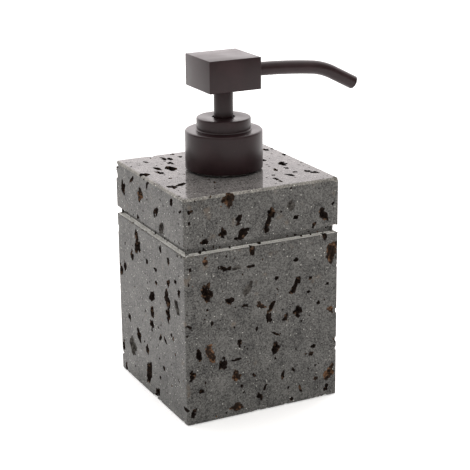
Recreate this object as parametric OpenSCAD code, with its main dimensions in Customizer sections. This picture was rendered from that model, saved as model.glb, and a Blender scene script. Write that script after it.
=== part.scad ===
// Soap pump dispenser: a stone block round an inner bottle, with a screw-on lotion pump.
// Millimetres. The origin is the centre of the underside, +Z is up and the spout points along +X.

/* [Stone block] */
// Side of the square block
stone_w = 75; // [64:0.5:100]
// Height of the block
stone_h = 102.5; // [84:0.5:130]
// Radius of the four upright edges
stone_edge_r = 1; // [0.5:0.1:6]
// Radius of the arris round the top face
stone_arris_r = 1.2; // [0.4:0.1:1.4]
// Thickness of the thinnest side wall, outside the inner bottle
stone_wall = 8; // [6:0.5:11]
// Thickness of the stone above the inner bottle
stone_roof = 10; // [7:0.5:14]

/* [Saw-cut groove] */
// Height of the groove's lower lip above the block's underside
groove_z = 77.3; // [62:0.1:80]
// Height of the groove
groove_h = 3.6; // [2:0.1:5]
// Depth of the groove
groove_d = 2.7; // [1:0.1:4]

/* [Underside] */
// Thickness of the foot pad
pad_t = 1.5; // [1:0.1:3]
// How far the foot pad stands below the stone
pad_proud = 0.4; // [0.2:0.1:1]
// Thickness of the base plate
plate_t = 3; // [2:0.5:5]
// Width of the ledge that the base plate is glued to
plate_ledge = 3.5; // [2:0.5:4]
// Width of the ledge that the foot pad is glued to, outside the base plate
pad_ledge = 1.5; // [1:0.5:2]

/* [Inner bottle] */
// Wall of the inner bottle
liner_wall = 1.5; // [1:0.1:2.5]
// Gap between the inner bottle and the stone
liner_gap = 0.3; // [0.2:0.1:1]
// Radius of the inner bottle's shoulder and heel
liner_corner_r = 5; // [3:0.5:8]
// Outer diameter of the neck, without its thread
neck_d = 25.2; // [24.6:0.1:31]
// Wall of the neck
neck_wall = 1.4; // [1.2:0.1:1.6]

/* [Screw thread] */
// Rise of the thread in one turn
thread_pitch = 4.233; // [4:0.001:5.1]
// Turns of thread on the neck
neck_turns = 1.5; // [1:0.25:1.75]
// Turns of thread in the closure
closure_turns = 1.25; // [1:0.25:1.5]
// Height of a thread's tooth
thread_depth = 1.15; // [0.9:0.05:1.4]
// Width of a tooth at its root
thread_root_w = 2.1; // [1.8:0.1:2.3]
// Width of a tooth at its crest
thread_crest_w = 1.1; // [0.7:0.1:1.3]
// Radial gap between the neck's crest and the closure's bore
thread_gap = 0.3; // [0.2:0.05:0.5]

/* [Collar] */
// Height of the lower collar's top above the block
collar_h = 18.3; // [18:0.1:24]
// Gap between the collar's rim and the block
collar_gap = 1.2; // [0.6:0.1:1.6]
// Wall of the metal collar shell
shell_wall = 0.8; // [0.6:0.1:1.2]
// Radius of the collar shell's shoulder
shoulder_r = 1.1; // [0.8:0.1:2]
// Wall of the threaded closure, outside its thread
closure_wall = 2.5; // [1.5:0.1:4]
// Thickness of the closure's top
closure_top_t = 1.5; // [1:0.1:2.5]
// Height of the upper collar above the lower one
ring_h = 5.6; // [5:0.1:8]
// Wall of the upper collar's metal cover
cover_wall = 0.7; // [0.5:0.1:1]
// Wall of the guide ring, outside the housing's mouth
guide_wall = 3.95; // [2.5:0.05:6]
// Radial gap between the stem and the edge of the metal cover
cover_gap = 0.8; // [0.5:0.1:1.5]

/* [Pump] */
// Travel of the pump head
stroke = 12; // [8:0.5:15]
// Gap left between the head and the collar when the head is down
head_clear = 1.2; // [0.8:0.1:3]
// Outer diameter of the stem's metal sleeve
stem_d = 8.66; // [7.6:0.02:10.5]
// Wall of the sleeve
sleeve_wall = 0.7; // [0.5:0.1:1]
// Bore of the pump chamber
chamber_d = 11.8; // [11.2:0.1:12.4]
// Wall of the pump chamber
chamber_wall = 0.9; // [0.7:0.1:1]
// Height of the piston
piston_h = 6; // [4:0.5:8]
// Length of the guide ring's plug below the housing's flange
plug_l = 5; // [4:0.5:8]
// Wall of the guide ring's plug
plug_wall = 1.6; // [1.2:0.1:2.4]
// Wall of the housing's mouth
mouth_wall = 1.5; // [1:0.1:2]
// Thickness of the housing's flange
flange_t = 1.3; // [1:0.1:2]
// Thickness of the neck gasket
gasket_t = 1; // [0.6:0.1:1.6]
// Outer diameter of the dip tube
dip_d = 6; // [5:0.1:7.4]
// Wall of the dip tube
dip_wall = 0.9; // [0.7:0.1:1.2]
// Gap between the dip tube and the bottle's floor
dip_clear = 3; // [2:0.5:6]
// Thickness of the spring's wire
wire_d = 0.8; // [0.6:0.1:1]
// Turns of the spring
spring_turns = 8; // [6:1:9]
// Diameter of the inlet ball
inlet_ball_d = 4.8; // [4:0.1:5.2]
// Diameter of the outlet ball
outlet_ball_d = 3.5; // [3:0.1:3.8]
// How far a ball lifts off its seat
ball_lift = 1.5; // [1:0.1:2]

/* [Head and spout] */
// Side of the square head
head_w = 24.9; // [20:0.1:30]
// Height of the head
head_h = 14.2; // [13.4:0.1:20]
// Height of the spout's centre line above the head's underside
spout_rise = 6.4; // [6.2:0.1:8]
// Outer diameter of the spout
spout_d = 6.22; // [5.2:0.02:7.5]
// Wall of the spout
spout_wall = 1; // [0.6:0.1:1.4]
// Straight length of the spout outside the head
spout_start = 1.95; // [1:0.05:6]
// Radius of the spout's long gentle curve
droop_r = 264; // [150:1:400]
// Turn of the long gentle curve, in degrees
droop_a = 6.56; // [3:0.01:10]
// Radius of the spout's bend
bend_r = 31.4; // [12:0.1:50]
// Turn of the bend, in degrees
bend_a = 20.94; // [10:0.01:60]
// Straight length at the spout's tip
spout_tip = 12.6; // [6:0.1:25]

/* [Fits] */
// Radial gap of a running or sliding fit
run_fit = 0.06; // [0.03:0.01:0.1]
// Gap between faces that turn or slide past each other
face_gap = 0.1; // [0.05:0.05:0.2]

/* [Hidden] */
$fn = 64;
eps = 0.01;
over = 5;

// Levels from the underside up
plate_z = pad_t;
floor_z = plate_z + plate_t;
block_top = pad_proud + stone_h;
cavity_top = block_top - stone_roof;
collar_top = block_top + collar_h;
ring_top = collar_top + ring_h;
head_z = ring_top + stroke + head_clear;
spout_z = head_z + spout_rise;
neck_top = collar_top - shell_wall - closure_top_t - face_gap - flange_t - gasket_t;
flange_z = neck_top + gasket_t;
closure_under = flange_z + flange_t + face_gap;

// Radii of the block and the bottle
cavity_r = stone_w / 2 - stone_wall;
plate_r = cavity_r + plate_ledge;
pad_r = plate_r + pad_ledge;
liner_r = cavity_r - liner_gap;
liner_top = cavity_top - liner_gap;
neck_r = neck_d / 2;
neck_bore_r = neck_r - neck_wall;

// Thread: the closure's teeth sit just under the neck's
neck_crest_r = neck_r + thread_depth;
closure_bore_r = neck_crest_r + thread_gap;
tooth_w = (thread_root_w + thread_crest_w) / 2;
tooth_gap = 0.1;
tooth_drop = tooth_w + tooth_gap;
thread_below_rim = 2.5;
neck_thread_z = neck_top - thread_below_rim - neck_turns * thread_pitch;
closure_thread_z = neck_thread_z - tooth_drop;
closure_r = closure_bore_r + closure_wall;
collar_r = closure_r + shell_wall;
neck_hole_gap = 0.75;
neck_hole_r = neck_crest_r + neck_hole_gap;

// Stem, chamber and guide
stem_r = stem_d / 2;
rod_r = stem_r - sleeve_wall;
chamber_r = chamber_d / 2;
plug_lip = 0.1;
plug_r = max(chamber_r + plug_lip, stem_r + run_fit + plug_wall);
mouth_r = plug_r + mouth_wall;
mouth_top = collar_top + ring_h * 0.6;
ring_r = mouth_r + guide_wall + cover_wall;
guide_top = ring_top - cover_wall;
collar_hole_gap = 0.3;
collar_hole_r = mouth_r + collar_hole_gap;
flange_r = neck_r - 0.2;
gasket_bore_r = neck_bore_r - 1.6;

// Piston and rod
plug_z = flange_z - plug_l;
piston_top = plug_z - face_gap;
piston_z = piston_top - piston_h;
rod_neck_r = rod_r - 0.73;
rod_bore_r = rod_neck_r - 1.3;
rod_foot_r = chamber_r - 1.5;
rod_foot_h = 1.5;
rod_z = piston_z - face_gap - rod_foot_h;
sleeve_z = piston_top + 1.3;

// Chamber floor, inlet valve and spring
spring_r = rod_foot_r - wire_d / 2;
spring_room = stroke + spring_turns * wire_d + 1.2;
spring_z = rod_z - spring_room;
cage_top_t = 2;
inlet_r = inlet_ball_d / 2;
inlet_hole_r = inlet_r * 0.7;
seat_slack = 0.02;
inlet_rise = sqrt(inlet_r * inlet_r - inlet_hole_r * inlet_hole_r) + seat_slack;
cage_room = inlet_rise + inlet_r + ball_lift + face_gap;
seat_z = spring_z - cage_top_t - cage_room;
chamber_floor_t = 2;
dip_r = dip_d / 2;
tail_r = dip_r + 1.4;
tail_l = 12;
dip_top = seat_z - chamber_floor_t - 1;
tail_z = dip_top - tail_l;
dip_z = floor_z + liner_wall + dip_clear;

// Head insert and outlet valve
insert_sink = 0.8;
insert_r = stem_r + 1.27;
sleeve_top = head_z + insert_sink + 2;
rod_top = sleeve_top + 0.8;
insert_top = spout_z + spout_d / 2 + 0.2;
outlet_r = outlet_ball_d / 2;
outlet_hole_r = outlet_r * 0.74;
outlet_room_r = outlet_r + 0.3;
stop_h = 2;
outlet_rise = sqrt(outlet_r * outlet_r - outlet_hole_r * outlet_hole_r) + seat_slack;
outlet_seat_z = rod_top - stop_h - face_gap - ball_lift - outlet_r - outlet_rise;

// Spout
spout_r = spout_d / 2;
spout_bore_r = spout_r - spout_wall;
spout_x = insert_r - 3.2;
droop_x = head_w / 2 + spout_start;

module ring(outer, inner, low, high) {
    difference() {
        translate([0, 0, low]) cylinder(r = outer, h = high - low);
        translate([0, 0, low - over]) cylinder(r = inner, h = high - low + 2 * over);
    }
}

module rod(radius, low, high) {
    translate([0, 0, low]) cylinder(r = radius, h = high - low);
}

module rounded_square(side, radius) {
    far = side / 2 - radius;
    square([side, 2 * far], center = true);
    square([2 * far, side], center = true);
    for (x = [-far, far], y = [-far, far]) translate([x, y]) circle(r = radius);
}

// Half outline of a can with a rounded heel and shoulder, for turning
module can_outline(radius, low, high, heel, shoulder) {
    translate([0, low + heel]) square([radius, high - low - heel - shoulder]);
    translate([0, low]) square([radius - heel, high - low - shoulder]);
    translate([0, low + heel]) square([radius - shoulder, high - low - heel]);
    translate([radius - heel, low + heel]) circle(r = heel);
    translate([radius - shoulder, high - shoulder]) circle(r = shoulder);
}

// A cap with a rounded shoulder, a closed top and an open underside
module cap_shell(radius, wall, low, high, shoulder, hole) {
    difference() {
        rotate_extrude() intersection() {
            can_outline(radius, low - 2 * shoulder, high, shoulder, shoulder);
            translate([0, low]) square([radius, high - low]);
        }
        rod(radius - wall, low - over, high - wall);
        rod(hole, low, high + over);
    }
}

// Helical tooth: root and crest are radii, and the ends taper away into the root
module helix_tooth(root, crest, turns, start_z, sink) {
    steps = ceil(turns * 32);
    taper = 0.12;
    function part(i) = min(1, min(i, steps - i) / steps * turns / taper);
    function tip(i) = root + (crest - root) * max(0.05, part(i));
    function half(i) = thread_root_w / 2 - (thread_root_w - thread_crest_w) / 2 * part(i);
    function at(i, r, dz) = [r * cos(i * 360 * turns / steps), r * sin(i * 360 * turns / steps),
                             start_z + i * turns / steps * thread_pitch + dz];
    points = [for (i = [0:steps]) each [
        at(i, root + sink, -thread_root_w / 2),
        at(i, tip(i), -half(i)),
        at(i, tip(i), half(i)),
        at(i, root + sink, thread_root_w / 2)]];
    outward = sign(crest - root);
    sides = [for (i = [0:steps - 1], k = [0:3])
        let (a = 4 * i + k, b = 4 * i + (k + 1) % 4)
        outward > 0 ? [a, b, b + 4, a + 4] : [a, a + 4, b + 4, b]];
    first = outward > 0 ? [3, 2, 1, 0] : [0, 1, 2, 3];
    last = [for (k = [0:3]) 4 * steps + (outward > 0 ? k : 3 - k)];
    polyhedron(points, concat([first], sides, [last]), convexity = 6);
}

module stone_block() {
    color("#5b5855") difference() {
        translate([0, 0, pad_proud]) intersection() {
            linear_extrude(stone_h) rounded_square(stone_w, stone_edge_r);
            rotate([90, 0, 0]) linear_extrude(stone_w + 2, center = true) arris_outline();
            rotate([90, 0, 90]) linear_extrude(stone_w + 2, center = true) arris_outline();
        }
        translate([0, 0, pad_proud + groove_z]) linear_extrude(groove_h) difference() {
            square(stone_w + 2 * over, center = true);
            rounded_square(stone_w - 2 * groove_d, max(stone_edge_r - groove_d, 0.5));
        }
        rod(cavity_r, 0, cavity_top);
        rod(plate_r + eps, -over, floor_z);
        rod(pad_r + eps, -over, plate_z);
        rod(neck_hole_r, 0, block_top + over);
    }
}

// Front outline of the block, with its two top corners rounded
module arris_outline() {
    inset = stone_w / 2 - stone_arris_r;
    translate([-stone_w / 2, 0]) square([stone_w, stone_h - stone_arris_r]);
    translate([-inset, 0]) square([2 * inset, stone_h]);
    for (x = [-inset, inset]) translate([x, stone_h - stone_arris_r]) circle(r = stone_arris_r);
}

module inner_bottle() {
    color("#dfe3e0") difference() {
        union() {
            rotate_extrude() intersection() {
                can_outline(liner_r, floor_z, liner_top, liner_corner_r, liner_corner_r);
                translate([0, floor_z]) square([liner_r, liner_top - floor_z]);
            }
            rod(neck_r, liner_top - liner_wall, neck_top);
            helix_tooth(neck_r, neck_crest_r, neck_turns, neck_thread_z, -0.3);
        }
        rotate_extrude() intersection() {
            can_outline(liner_r - liner_wall, floor_z + liner_wall, liner_top - liner_wall,
                        liner_corner_r - liner_wall, liner_corner_r - liner_wall);
            translate([0, floor_z]) square([liner_r, liner_top - floor_z]);
        }
        rod(neck_bore_r, floor_z + 2 * liner_wall, neck_top + over);
    }
}

module base_plate() {
    color("#26262a") rod(plate_r, plate_z, floor_z);
}

module foot_pad() {
    color("#1c1c1e") rod(pad_r, 0, pad_t);
}

module neck_gasket() {
    color("#c9cdc8") ring(flange_r, gasket_bore_r, neck_top, flange_z);
}

module pump_housing() {
    outer = plug_r + chamber_wall;
    vent_r = 0.6;
    color("#e9ebe8") difference() {
        union() {
            rod(outer, seat_z - chamber_floor_t, flange_z + flange_t);
            rod(flange_r, flange_z, flange_z + flange_t);
            rod(mouth_r, flange_z, mouth_top);
            rod(tail_r, tail_z, seat_z);
        }
        rod(chamber_r, seat_z, mouth_top + over);
        rod(plug_r, plug_z, mouth_top + over);
        rod(inlet_hole_r, tail_z, seat_z + over);
        rod(dip_r, tail_z - over, dip_top);
        translate([0, 0, piston_z + piston_h / 2]) rotate([0, -90, 0])
            cylinder(r = vent_r, h = outer + over);
    }
}

module dip_tube() {
    color("#eef0ee") difference() {
        ring(dip_r, dip_r - dip_wall, dip_z, dip_top);
        translate([0, 0, dip_z]) rotate([0, 45, 0])
            translate([-4 * dip_r, -2 * dip_r, -4 * dip_r - dip_r * sin(45)])
                cube([8 * dip_r, 4 * dip_r, 4 * dip_r]);
    }
}

// Spider that keeps the inlet ball over its seat and carries the spring
module ball_cage() {
    slot_w = 1.5;
    slot_l = 2 * inlet_r + 0.8;
    color("#d8dbd8") difference() {
        rod(chamber_r, seat_z, spring_z);
        rod(inlet_r + 0.35, seat_z - over, seat_z + cage_room);
        for (turn = [0, 90]) rotate([0, 0, turn])
            translate([-slot_l / 2, -slot_w / 2, seat_z]) cube([slot_l, slot_w, spring_z]);
    }
}

module inlet_ball() {
    color("#c8cacc") translate([0, 0, seat_z + inlet_rise]) sphere(r = inlet_r);
}

module guide_ring() {
    color("#2e2a2a") difference() {
        union() {
            rod(ring_r - cover_wall, collar_top + face_gap, guide_top);
            rod(plug_r, plug_z, mouth_top + eps);
        }
        ring(mouth_r, plug_r, plug_z - over, mouth_top);
        rod(stem_r + run_fit, plug_z - over, guide_top + over);
    }
}

module ring_cover() {
    color("#383230") cap_shell(ring_r, cover_wall, collar_top + face_gap, ring_top, 0.9, stem_r + cover_gap);
}

module collar_shell() {
    color("#332e2d") cap_shell(collar_r, shell_wall, block_top + collar_gap, collar_top, shoulder_r,
                               collar_hole_r);
}

module threaded_closure() {
    lift = collar_gap + 0.5;
    color("#2b2828") difference() {
        union() {
            difference() {
                rod(closure_r, block_top + lift, collar_top - shell_wall);
                rod(closure_bore_r, block_top, closure_under);
            }
            helix_tooth(closure_bore_r, closure_bore_r - thread_depth + 0.05, closure_turns,
                        closure_thread_z, 0.3);
        }
        rod(collar_hole_r, closure_under - eps, collar_top + over);
    }
}

module piston_seal() {
    lip = 1.2;
    color("#f2f2ee") difference() {
        union() {
            ring(chamber_r - run_fit, rod_neck_r + run_fit, piston_z, piston_z + lip);
            ring(chamber_r - run_fit, rod_neck_r + run_fit, piston_top - lip, piston_top);
            ring(chamber_r - 0.5, rod_neck_r + run_fit, piston_z, piston_top);
        }
        ring(chamber_r - 0.9, rod_neck_r + 0.9, piston_z - over, piston_z + lip);
    }
}

module return_spring() {
    sides = 8;
    per_turn = 20;
    rings = spring_turns * per_turn;
    length = spring_room;
    closed = 1;
    grow = (length - wire_d * (1 + 2 * closed)) / (spring_turns - 2 * closed);
    function rise(t) = t < closed ? t * wire_d
        : t < spring_turns - closed ? closed * wire_d + (t - closed) * grow
        : length - wire_d - (spring_turns - t) * wire_d;
    function spot(i, k) = let (t = i / per_turn, a = 360 * t, b = 360 * k / sides,
                               r = spring_r + wire_d / 2 * cos(b))
        [r * cos(a), r * sin(a), spring_z + wire_d / 2 + rise(t) + wire_d / 2 * 0.98 * sin(b)];
    points = [for (i = [0:rings], k = [0:sides - 1]) spot(i, k)];
    skin = [for (i = [0:rings - 1], k = [0:sides - 1])
        let (a = sides * i + k, b = sides * i + (k + 1) % sides) [a, b, b + sides, a + sides]];
    first = [for (k = [0:sides - 1]) sides - 1 - k];
    last = [for (k = [0:sides - 1]) sides * rings + k];
    color("silver") polyhedron(points, concat([first], skin, [last]), convexity = 10);
}

// Hollow plastic rod that carries the piston and the soap
module pump_stem() {
    color("#e4e6e3") difference() {
        union() {
            rod(rod_foot_r, rod_z, rod_z + rod_foot_h);
            rod(rod_neck_r, rod_z, piston_top + face_gap + eps);
            rod(rod_r, piston_top + face_gap, rod_top);
        }
        rod(min(rod_bore_r, outlet_hole_r), rod_z - over, rod_top + over);
        rod(outlet_room_r, outlet_seat_z, rod_top + over);
    }
}

module stem_sleeve() {
    color("#3a3332") ring(stem_r, rod_r, sleeve_z, sleeve_top);
}

module outlet_ball() {
    color("#c8cacc") translate([0, 0, outlet_seat_z + outlet_rise]) sphere(r = outlet_r);
}

module ball_stop() {
    slot_w = 1;
    slot_l = 2 * outlet_r - 0.4;
    color("#d8dbd8") difference() {
        rod(outlet_room_r, rod_top - stop_h, rod_top);
        for (turn = [0, 90]) rotate([0, 0, turn])
            translate([-slot_l / 2, -slot_w / 2, rod_top - stop_h - over])
                cube([slot_l, slot_w, stop_h + 2 * over]);
    }
}

module head_insert() {
    color("#2e2a2a") difference() {
        rod(insert_r, head_z + insert_sink, insert_top);
        rod(stem_r, head_z, sleeve_top);
        rod(rod_r, head_z, rod_top);
        rod(spout_bore_r, head_z, spout_z);
        translate([0, 0, spout_z]) rotate([0, 90, 0]) cylinder(r = spout_bore_r, h = insert_r + over);
        translate([spout_x, 0, spout_z]) rotate([0, 90, 0]) cylinder(r = spout_r, h = insert_r + over);
    }
}

module head_block() {
    color("#423c3b") difference() {
        translate([-head_w / 2, -head_w / 2, head_z]) cube([head_w, head_w, head_h]);
        rod(insert_r, head_z - over, insert_top);
        translate([0, 0, spout_z]) rotate([0, 90, 0]) cylinder(r = spout_r, h = head_w);
    }
}

// Stations along the spout's centre line: x, z and the downward angle of its heading
function droop_at(angle) = [droop_x + droop_r * sin(angle), spout_z - droop_r * (1 - cos(angle)), angle];
function bend_at(angle) = let (start = droop_at(droop_a), heading = droop_a + angle)
    [start[0] + bend_r * (sin(heading) - sin(droop_a)),
     start[1] - bend_r * (cos(droop_a) - cos(heading)), heading];
function tip_at(length) = let (start = bend_at(bend_a))
    [start[0] + length * cos(start[2]), start[1] - length * sin(start[2]), start[2]];
function ring_at(station, radius, sides) = [for (k = [0:sides - 1]) let (b = 360 * k / sides)
    [station[0] + radius * sin(b) * sin(station[2]), radius * cos(b),
     station[1] + radius * sin(b) * cos(station[2])]];

module spout_tube() {
    sides = 24;
    droop_steps = 8;
    bend_steps = 10;
    stations = concat([[spout_x, spout_z, 0]],
                      [for (i = [0:droop_steps]) droop_at(droop_a * i / droop_steps)],
                      [for (i = [1:bend_steps]) bend_at(bend_a * i / bend_steps)], [tip_at(spout_tip)]);
    last = len(stations) - 1;
    inside = sides * (last + 1);
    points = concat([for (s = stations) each ring_at(s, spout_r, sides)],
                    [for (s = stations) each ring_at(s, spout_bore_r, sides)]);
    function next(k) = (k + 1) % sides;
    skin = [for (i = [0:last - 1], k = [0:sides - 1]) let (a = sides * i + k, b = sides * i + next(k))
        [a, a + sides, b + sides, b]];
    bore = [for (f = skin) [for (k = [3:-1:0]) f[k] + inside]];
    mouth = [for (k = [0:sides - 1]) [k, next(k), next(k) + inside, k + inside]];
    tip = [for (f = mouth) [for (k = [3:-1:0]) f[k] + sides * last]];
    color("#4a4343") polyhedron(points, concat(skin, bore, mouth, tip), convexity = 8);
}

stone_block();
inner_bottle();
base_plate();
foot_pad();
neck_gasket();
pump_housing();
dip_tube();
ball_cage();
inlet_ball();
guide_ring();
ring_cover();
collar_shell();
threaded_closure();
piston_seal();
return_spring();
pump_stem();
stem_sleeve();
outlet_ball();
ball_stop();
head_insert();
head_block();
spout_tube();
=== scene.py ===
import math
import random

import bmesh
import bpy
from mathutils import Matrix, Vector


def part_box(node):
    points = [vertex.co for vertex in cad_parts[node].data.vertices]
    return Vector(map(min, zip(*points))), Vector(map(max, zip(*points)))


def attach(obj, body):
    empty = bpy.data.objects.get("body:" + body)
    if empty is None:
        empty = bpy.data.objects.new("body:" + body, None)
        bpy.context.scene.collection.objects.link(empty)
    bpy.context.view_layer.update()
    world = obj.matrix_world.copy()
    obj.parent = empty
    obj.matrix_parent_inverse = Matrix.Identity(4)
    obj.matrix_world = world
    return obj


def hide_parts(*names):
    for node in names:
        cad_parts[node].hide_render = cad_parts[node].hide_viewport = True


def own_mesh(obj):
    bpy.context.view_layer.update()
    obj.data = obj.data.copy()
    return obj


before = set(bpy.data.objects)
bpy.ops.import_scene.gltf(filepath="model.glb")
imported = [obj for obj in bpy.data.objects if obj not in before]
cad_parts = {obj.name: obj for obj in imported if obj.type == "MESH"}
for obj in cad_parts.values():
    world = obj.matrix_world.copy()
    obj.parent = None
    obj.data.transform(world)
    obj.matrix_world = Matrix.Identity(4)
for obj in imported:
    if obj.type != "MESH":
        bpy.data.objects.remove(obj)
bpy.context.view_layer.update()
mm = 0.001


def takeUp(piece):
    # leaves only this piece selected, and active
    if bpy.context.mode != "OBJECT":
        bpy.ops.object.mode_set(mode="OBJECT")
    bpy.ops.object.select_all(action="DESELECT")
    piece.select_set(True)
    bpy.context.view_layer.objects.active = piece


def clearHands():
    if bpy.context.mode != "OBJECT":
        bpy.ops.object.mode_set(mode="OBJECT")
    bpy.ops.object.select_all(action="DESELECT")


def pick(piece, kind, test):
    # in edit mode: selects the vertices, edges or faces that pass the test
    bpy.ops.mesh.select_mode(type=kind)
    bpy.ops.mesh.select_all(action="DESELECT")
    shape = bmesh.from_edit_mesh(piece.data)
    shape.normal_update()
    parts = {"VERT": shape.verts, "EDGE": shape.edges, "FACE": shape.faces}[kind]
    for part in parts:
        if test(part):
            part.select_set(True)
    shape.select_flush_mode()
    bmesh.update_edit_mesh(piece.data)


def applyModifier(piece, kind, **settings):
    takeUp(piece)
    modifier = piece.modifiers.new("step", kind)
    for name, value in settings.items():
        setattr(modifier, name, value)
    bpy.ops.object.modifier_apply(modifier=modifier.name)


def settle(piece, angle=30):
    # place goes into the mesh, and shading breaks at real edges only
    takeUp(piece)
    bpy.ops.object.transform_apply(location=True, rotation=True, scale=True)
    bpy.ops.object.shade_smooth_by_angle(angle=math.radians(angle))


def fixNormals(piece):
    takeUp(piece)
    bpy.ops.object.mode_set(mode="EDIT")
    bpy.ops.mesh.select_all(action="SELECT")
    bpy.ops.mesh.remove_doubles(threshold=0.001 * mm)
    bpy.ops.mesh.normals_make_consistent(inside=False)
    bpy.ops.object.mode_set(mode="OBJECT")


def atRing(vertex, ring):
    radius, height = ring
    across = math.hypot(vertex.co.x, vertex.co.y)
    return abs(across - radius * mm) < 0.002 * mm and abs(vertex.co.z - height * mm) < 0.002 * mm


def turn(name, outline, steps=96, solid=False, rounds=()):
    # turns an outline of (radius, height) in mm round Z: a closed wall, or a solid with both ends capped
    clearHands()
    radius, height = outline[0]
    bpy.ops.mesh.primitive_circle_add(vertices=steps, radius=radius * mm, location=(0, 0, height * mm))
    piece = bpy.context.object
    piece.name = name
    bpy.ops.object.transform_apply(location=True, rotation=True, scale=True)
    bpy.ops.object.mode_set(mode="EDIT")
    bpy.ops.mesh.select_mode(type="EDGE")
    bpy.ops.mesh.select_all(action="SELECT")
    for nextRadius, nextHeight in outline[1:]:
        bpy.ops.mesh.extrude_region_move(TRANSFORM_OT_translate={"value": (0, 0, (nextHeight - height) * mm)})
        grow = nextRadius / radius
        bpy.ops.transform.resize(value=(grow, grow, 1), center_override=(0, 0, nextHeight * mm))
        radius, height = nextRadius, nextHeight
    if solid:
        for ring in (outline[0], outline[-1]):
            pick(piece, "EDGE", lambda e, ring=ring: e.is_boundary and all(atRing(v, ring) for v in e.verts))
            bpy.ops.mesh.edge_face_add()
    else:
        pick(piece, "EDGE", lambda e: e.is_boundary)
        bpy.ops.mesh.bridge_edge_loops()
    for ring, width, segments in rounds:
        pick(piece, "EDGE", lambda e, ring=ring: all(atRing(v, ring) for v in e.verts))
        bpy.ops.mesh.bevel(offset=width * mm, segments=segments, profile=0.5, clamp_overlap=False)
    fixNormals(piece)
    return piece


def cutAway(piece, tool, solver="EXACT"):
    applyModifier(piece, "BOOLEAN", operation="DIFFERENCE", solver=solver, object=tool)
    bpy.data.objects.remove(tool, do_unlink=True)


def srgb(code):
    # a hex colour as the eye sees it, turned to linear light
    parts = [int(code[i:i + 2], 16) / 255 for i in (1, 3, 5)]
    return tuple(c / 12.92 if c <= 0.04045 else ((c + 0.055) / 1.055) ** 2.4 for c in parts) + (1.0,)


def addNode(tree, kind, settings=None, links=None, **properties):
    # a link names a socket, or a node whose first output is meant
    node = tree.nodes.new(kind)
    for name, value in properties.items():
        setattr(node, name, value)
    for socket, value in (settings or {}).items():
        node.inputs[socket].default_value = value
    for socket, source in (links or {}).items():
        output = source.outputs[0] if isinstance(source, bpy.types.Node) else source
        tree.links.new(output, node.inputs[socket])
    return node


def startMaterial(name, **shader):
    material = bpy.data.materials.new(name)
    material.use_nodes = True
    tree = material.node_tree
    tree.nodes.clear()
    surface = addNode(tree, "ShaderNodeBsdfPrincipled", shader)
    addNode(tree, "ShaderNodeOutputMaterial", links={"Surface": surface})
    place = addNode(tree, "ShaderNodeTexCoord").outputs["Object"]
    return material, tree, surface, place


def perMetre(size):
    # texture scale for a feature of this size in mm
    return 1 / (size * mm)


# Andesite lava stone: a fine grey ground full of gas bubbles, with pale feldspar crystals
# and tiny dark vents, whose near-black is painted shade in pinholes too small to cut. Grain sizes are in mm.
stoneLook = dict(
    crystal="#e8e6de", vent="#141211", rust="#66594c",
    clouds=7.0, grain=0.6, crystalGap=1.7, crystalSize=0.3, ventGap=1.5, ventSize=0.3, stainSize=6.0,
    cloudShare=0.2, darkBelow=0.33, paleAbove=0.67, stainStart=0.62, stainFull=0.72, stainMost=0.45,
    crystalRare=0.45, crystalSure=0.95, ventRare=0.45, ventSure=0.55, ventDepth=1.5,
)


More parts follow.
